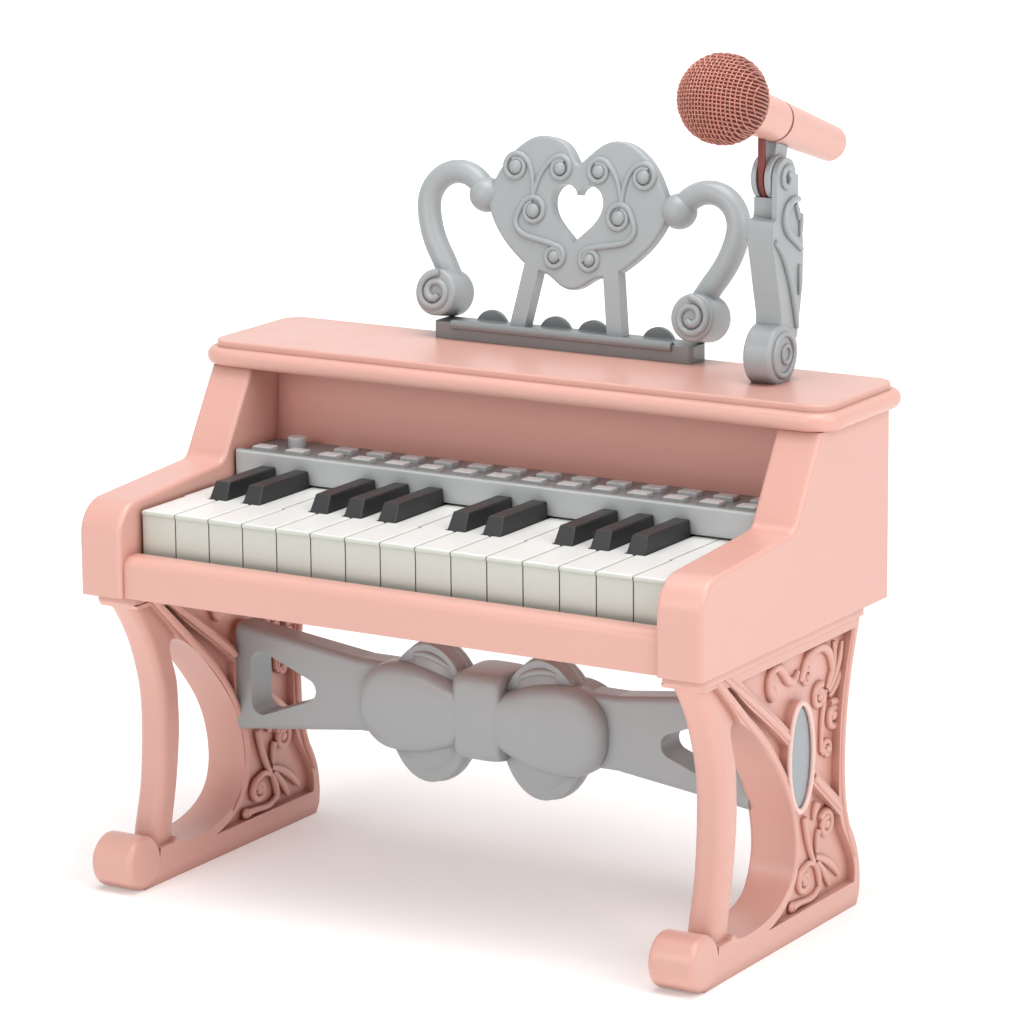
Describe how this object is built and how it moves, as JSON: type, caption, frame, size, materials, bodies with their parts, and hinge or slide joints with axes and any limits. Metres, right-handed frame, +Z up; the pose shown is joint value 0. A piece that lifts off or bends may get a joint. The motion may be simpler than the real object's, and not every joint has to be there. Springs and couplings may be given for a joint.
{
  "type": "toy piano",
  "caption": "Small toy upright piano with hinged keys, two rows of push buttons, a scrolled music rest, a tilting microphone on an arm and scrolled legs tied by a bow.",
  "frame": {"origin": "centre of the overall box, on the floor under the legs", "axes": "+X to the player's right (treble), +Y away from the player, +Z up"},
  "size_m": [0.395, 0.2496, 0.4609],
  "materials": {
    "pink_shell": "satin moulded",
    "pink_matte": "fine texture",
    "grey_moulding": "satin moulded",
    "panel_grey": "satin moulded",
    "button_grey": "satin",
    "key_white": "gloss",
    "key_black": "satin",
    "medallion_blue": "gloss",
    "mesh_rose": "painted mesh",
    "lead_rubber": "matt",
    "capsule_metal": "plain",
    "steel": "plain",
    "frame_plastic": "plain",
    "circuit_board": "plain",
    "contact_rubber": "matt",
    "speaker_metal": "plain",
    "speaker_paper": "matt",
    "cell_jacket": "printed jacket left plain"
  },
  "bodies": {
    "cabinet": {"left_side": "pink_shell", "right_side": "pink_shell", "front_rail": "pink_shell", "fallboard": "pink_shell", "lid": "pink_shell", "base_tray": "pink_matte", "leg_screws": "steel", "battery_cover": "pink_matte", "battery_cells": "cell_jacket", "back_panel": "pink_matte", "speaker_frame": "speaker_metal", "speaker_cone": "speaker_paper", "key_frame": "frame_plastic", "key_pivot_rod": "steel", "key_board": "circuit_board", "key_contact_strip": "contact_rubber", "control_panel": "panel_grey", "button_mat": "contact_rubber", "button_board": "circuit_board", "left_leg": "pink_shell", "right_leg": "pink_shell", "medallions": "medallion_blue", "bow_brace": "grey_moulding", "rest_plate": "grey_moulding", "rest_ledge": "grey_moulding", "mic_arm": "grey_moulding", "mic_pivot_pin": "steel"},
    "white_key_01": {"white_key_01": "key_white"},
    "white_key_02": {"white_key_02": "key_white"},
    "white_key_03": {"white_key_03": "key_white"},
    "white_key_04": {"white_key_04": "key_white"},
    "white_key_05": {"white_key_05": "key_white"},
    "white_key_06": {"white_key_06": "key_white"},
    "white_key_07": {"white_key_07": "key_white"},
    "white_key_08": {"white_key_08": "key_white"},
    "white_key_09": {"white_key_09": "key_white"},
    "white_key_10": {"white_key_10": "key_white"},
    "white_key_11": {"white_key_11": "key_white"},
    "white_key_12": {"white_key_12": "key_white"},
    "white_key_13": {"white_key_13": "key_white"},
    "white_key_14": {"white_key_14": "key_white"},
    "white_key_15": {"white_key_15": "key_white"},
    "black_key_01": {"black_key_01": "key_black"},
    "black_key_02": {"black_key_02": "key_black"},
    "black_key_03": {"black_key_03": "key_black"},
    "black_key_04": {"black_key_04": "key_black"},
    "black_key_05": {"black_key_05": "key_black"},
    "black_key_06": {"black_key_06": "key_black"},
    "black_key_07": {"black_key_07": "key_black"},
    "black_key_08": {"black_key_08": "key_black"},
    "black_key_09": {"black_key_09": "key_black"},
    "black_key_10": {"black_key_10": "key_black"},
    "front_buttons": {"front_buttons": "button_grey"},
    "back_buttons": {"back_buttons": "button_grey"},
    "power_button": {"power_button": "button_grey"},
    "microphone": {"mic_cradle": "grey_moulding", "mic_handle": "pink_shell", "mic_grille": "mesh_rose", "mic_capsule": "capsule_metal", "mic_lead": "lead_rubber"}
  },
  "joints": [
    {"name": "white_key_01_press", "type": "hinge", "parent": "cabinet", "child": "white_key_01", "pos_m": [0, 0.03076, 0.202], "axis": [1, 0, 0], "range_deg": [0, 3], "stiffness_Nm_per_rad": 0.5, "springref_deg": -2.86},
    {"name": "white_key_02_press", "type": "hinge", "parent": "cabinet", "child": "white_key_02", "pos_m": [0, 0.03076, 0.202], "axis": [1, 0, 0], "range_deg": [0, 3], "stiffness_Nm_per_rad": 0.5, "springref_deg": -2.86},
    {"name": "white_key_03_press", "type": "hinge", "parent": "cabinet", "child": "white_key_03", "pos_m": [0, 0.03076, 0.202], "axis": [1, 0, 0], "range_deg": [0, 3], "stiffness_Nm_per_rad": 0.5, "springref_deg": -2.86},
    {"name": "white_key_04_press", "type": "hinge", "parent": "cabinet", "child": "white_key_04", "pos_m": [0, 0.03076, 0.202], "axis": [1, 0, 0], "range_deg": [0, 3], "stiffness_Nm_per_rad": 0.5, "springref_deg": -2.86},
    {"name": "white_key_05_press", "type": "hinge", "parent": "cabinet", "child": "white_key_05", "pos_m": [0, 0.03076, 0.202], "axis": [1, 0, 0], "range_deg": [0, 3], "stiffness_Nm_per_rad": 0.5, "springref_deg": -2.86},
    {"name": "white_key_06_press", "type": "hinge", "parent": "cabinet", "child": "white_key_06", "pos_m": [0, 0.03076, 0.202], "axis": [1, 0, 0], "range_deg": [0, 3], "stiffness_Nm_per_rad": 0.5, "springref_deg": -2.86},
    {"name": "white_key_07_press", "type": "hinge", "parent": "cabinet", "child": "white_key_07", "pos_m": [0, 0.03076, 0.202], "axis": [1, 0, 0], "range_deg": [0, 3], "stiffness_Nm_per_rad": 0.5, "springref_deg": -2.86},
    {"name": "white_key_08_press", "type": "hinge", "parent": "cabinet", "child": "white_key_08", "pos_m": [0, 0.03076, 0.202], "axis": [1, 0, 0], "range_deg": [0, 3], "stiffness_Nm_per_rad": 0.5, "springref_deg": -2.86},
    {"name": "white_key_09_press", "type": "hinge", "parent": "cabinet", "child": "white_key_09", "pos_m": [0, 0.03076, 0.202], "axis": [1, 0, 0], "range_deg": [0, 3], "stiffness_Nm_per_rad": 0.5, "springref_deg": -2.86},
    {"name": "white_key_10_press", "type": "hinge", "parent": "cabinet", "child": "white_key_10", "pos_m": [0, 0.03076, 0.202], "axis": [1, 0, 0], "range_deg": [0, 3], "stiffness_Nm_per_rad": 0.5, "springref_deg": -2.86},
    {"name": "white_key_11_press", "type": "hinge", "parent": "cabinet", "child": "white_key_11", "pos_m": [0, 0.03076, 0.202], "axis": [1, 0, 0], "range_deg": [0, 3], "stiffness_Nm_per_rad": 0.5, "springref_deg": -2.86},
    {"name": "white_key_12_press", "type": "hinge", "parent": "cabinet", "child": "white_key_12", "pos_m": [0, 0.03076, 0.202], "axis": [1, 0, 0], "range_deg": [0, 3], "stiffness_Nm_per_rad": 0.5, "springref_deg": -2.86},
    {"name": "white_key_13_press", "type": "hinge", "parent": "cabinet", "child": "white_key_13", "pos_m": [0, 0.03076, 0.202], "axis": [1, 0, 0], "range_deg": [0, 3], "stiffness_Nm_per_rad": 0.5, "springref_deg": -2.86},
    {"name": "white_key_14_press", "type": "hinge", "parent": "cabinet", "child": "white_key_14", "pos_m": [0, 0.03076, 0.202], "axis": [1, 0, 0], "range_deg": [0, 3], "stiffness_Nm_per_rad": 0.5, "springref_deg": -2.86},
    {"name": "white_key_15_press", "type": "hinge", "parent": "cabinet", "child": "white_key_15", "pos_m": [0, 0.03076, 0.202], "axis": [1, 0, 0], "range_deg": [0, 3], "stiffness_Nm_per_rad": 0.5, "springref_deg": -2.86},
    {"name": "black_key_01_press", "type": "hinge", "parent": "cabinet", "child": "black_key_01", "pos_m": [0, 0.03076, 0.202], "axis": [1, 0, 0], "range_deg": [0, 3], "stiffness_Nm_per_rad": 0.5, "springref_deg": -2.86},
    {"name": "black_key_02_press", "type": "hinge", "parent": "cabinet", "child": "black_key_02", "pos_m": [0, 0.03076, 0.202], "axis": [1, 0, 0], "range_deg": [0, 3], "stiffness_Nm_per_rad": 0.5, "springref_deg": -2.86},
    {"name": "black_key_03_press", "type": "hinge", "parent": "cabinet", "child": "black_key_03", "pos_m": [0, 0.03076, 0.202], "axis": [1, 0, 0], "range_deg": [0, 3], "stiffness_Nm_per_rad": 0.5, "springref_deg": -2.86},
    {"name": "black_key_04_press", "type": "hinge", "parent": "cabinet", "child": "black_key_04", "pos_m": [0, 0.03076, 0.202], "axis": [1, 0, 0], "range_deg": [0, 3], "stiffness_Nm_per_rad": 0.5, "springref_deg": -2.86},
    {"name": "black_key_05_press", "type": "hinge", "parent": "cabinet", "child": "black_key_05", "pos_m": [0, 0.03076, 0.202], "axis": [1, 0, 0], "range_deg": [0, 3], "stiffness_Nm_per_rad": 0.5, "springref_deg": -2.86},
    {"name": "black_key_06_press", "type": "hinge", "parent": "cabinet", "child": "black_key_06", "pos_m": [0, 0.03076, 0.202], "axis": [1, 0, 0], "range_deg": [0, 3], "stiffness_Nm_per_rad": 0.5, "springref_deg": -2.86},
    {"name": "black_key_07_press", "type": "hinge", "parent": "cabinet", "child": "black_key_07", "pos_m": [0, 0.03076, 0.202], "axis": [1, 0, 0], "range_deg": [0, 3], "stiffness_Nm_per_rad": 0.5, "springref_deg": -2.86},
    {"name": "black_key_08_press", "type": "hinge", "parent": "cabinet", "child": "black_key_08", "pos_m": [0, 0.03076, 0.202], "axis": [1, 0, 0], "range_deg": [0, 3], "stiffness_Nm_per_rad": 0.5, "springref_deg": -2.86},
    {"name": "black_key_09_press", "type": "hinge", "parent": "cabinet", "child": "black_key_09", "pos_m": [0, 0.03076, 0.202], "axis": [1, 0, 0], "range_deg": [0, 3], "stiffness_Nm_per_rad": 0.5, "springref_deg": -2.86},
    {"name": "black_key_10_press", "type": "hinge", "parent": "cabinet", "child": "black_key_10", "pos_m": [0, 0.03076, 0.202], "axis": [1, 0, 0], "range_deg": [0, 3], "stiffness_Nm_per_rad": 0.5, "springref_deg": -2.86},
    {"name": "front_buttons_press", "type": "slide", "parent": "cabinet", "child": "front_buttons", "axis": [0, 0, -1], "range_m": [0, 0.0012], "stiffness_N_per_m": 800, "springref_m": -0.0006},
    {"name": "back_buttons_press", "type": "slide", "parent": "cabinet", "child": "back_buttons", "axis": [0, 0, -1], "range_m": [0, 0.0012], "stiffness_N_per_m": 800, "springref_m": -0.0006},
    {"name": "power_button_press", "type": "slide", "parent": "cabinet", "child": "power_button", "axis": [0, 0, -1], "range_m": [0, 0.0016], "stiffness_N_per_m": 400, "springref_m": -0.0006},
    {"name": "microphone_tilt", "type": "hinge", "parent": "cabinet", "child": "microphone", "pos_m": [0.1348, 0.05626, 0.3901], "axis": [1, 0, 0], "range_deg": [-12, 10]}
  ]
}
